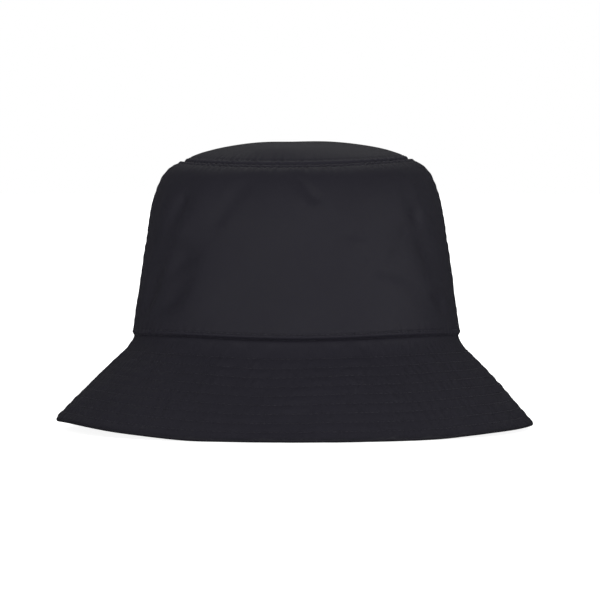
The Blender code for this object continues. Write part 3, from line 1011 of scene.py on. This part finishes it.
def make_sweatband_stitching(theta):
    radius, z = band_line.read(BAND_STITCH, band_relief(theta, BAND_STITCH))
    points = on_oval(theta, radius, z)
    lines = [(points, unit(on_oval(theta, radius - PROBE, z) - points))]
    settle(stitch_row("sweatband_stitches", lines), "thread", "sweatband_stitch")


def make_side_stitching():
    distance = np.linspace(BASE_STITCH + 0.002, wall.length - TIP_STITCH - 0.001, 500)
    off = np.arcsin(SIDE_STITCH / wall.read(distance)[0])
    for side, theta in (("left", -off), ("right", HALF_TURN + off)):
        lines = [line_on(wall, wall_relief, theta, distance)]
        settle(stitch_row(f"{side}_seam_stitches", lines), "thread", f"{side}_side_seam_stitch")


# ---- floor, light and camera ----
def make_floor():
    mesh = bpy.data.meshes.new("floor")
    reach = 30.0
    corners = [(-reach, -reach, 0), (reach, -reach, 0), (reach, reach, 0), (-reach, reach, 0)]
    mesh.from_pydata(corners, [], [(0, 1, 2, 3)])
    floor = bpy.data.objects.new("floor", mesh)
    bpy.context.scene.collection.objects.link(floor)
    material, tree, shader = new_material("floor_white", (0.5, 0.5, 0.5), 0.9, 0.0)
    n = Nodes(tree)
    place = n.add("ShaderNodeTexCoord")
    length = n.add("ShaderNodeVectorMath", operation="LENGTH")
    n.join(place.outputs["Object"], length.inputs[0])
    # The glow is a little weaker under the hat, as painted shadow, and grows outwards to full white.
    middle_glow, full_glow, growth = 0.86, 1.02, 0.2
    glow = n.math("MULTIPLY_ADD", length.outputs["Value"], growth, middle_glow)
    glow = n.math("MINIMUM", glow, full_glow)
    shader.inputs["Emission Color"].default_value = (1, 1, 1, 1)
    n.join(glow, shader.inputs["Emission Strength"])
    mesh.materials.append(material)
    # The cloth doesn't see the floor, so the white world lights it evenly from below too, as in a light tent.
    floor.visible_diffuse = False
    floor.visible_glossy = False


def area_light(name, place, aim, size, power):
    """A rectangular light. Its power is in watts."""
    data = bpy.data.lights.new(name, "AREA")
    data.shape = "RECTANGLE"
    data.size, data.size_y = size
    data.energy = power
    lamp = bpy.data.objects.new(name, data)
    lamp.location = place
    lamp.rotation_euler = (Vector(aim) - Vector(place)).to_track_quat("-Z", "Y").to_euler()
    bpy.context.scene.collection.objects.link(lamp)


def make_light():
    middle = (0, 0, 0.08)
    softboxes = (
        ("front_softbox", (-0.15, -3.4, 0.2), (1.3, 0.5), 37),
        ("top_softbox", (0.0, 1.6, 2.0), (1.8, 1.4), 8),
        ("left_softbox", (-2.35, -1.55, 0.3), (1.2, 0.8), 18),
        ("right_softbox", (2.57, -1.0, 0.3), (1.2, 0.8), 26),
    )
    for name, place, size, power in softboxes:
        area_light(name, place, middle, size, power)
    world = bpy.data.worlds.new("studio")
    bpy.context.scene.world = world
    world.use_nodes = True
    world.node_tree.nodes["Background"].inputs["Color"].default_value = (1, 1, 1, 1)
    world.node_tree.nodes["Background"].inputs["Strength"].default_value = 1.0
    # Seen in reflections, the world would put a bright rim on the cloth.
    world.cycles_visibility.glossy = False


def make_camera():
    data = bpy.data.cameras.new("camera")
    data.sensor_width = 36  # in millimetres, like the lens
    data.lens = 275.7
    data.clip_start = 0.05
    camera = bpy.data.objects.new("camera", data)
    place = Vector((0.002, -2.5, 0.138))
    aim = Vector((0.002, 0, 0.070))
    camera.location = place
    camera.rotation_euler = (aim - place).to_track_quat("-Z", "Y").to_euler()
    bpy.context.scene.collection.objects.link(camera)
    bpy.context.scene.camera = camera
    bpy.context.scene.view_settings.view_transform = "Standard"


slack = settled_wall()
make_crown_panels()
make_tip()
make_brim_plies()
make_stiffener()
make_lining_panels()
make_lining_top()
make_sweatband()
make_woven_label()
make_care_label()
whole_turn = np.linspace(0, FULL_TURN, 2400)
make_brim_stitching(whole_turn)
make_crown_stitching(whole_turn)
make_sweatband_stitching(whole_turn)
make_side_stitching()
make_floor()
make_light()
make_camera()
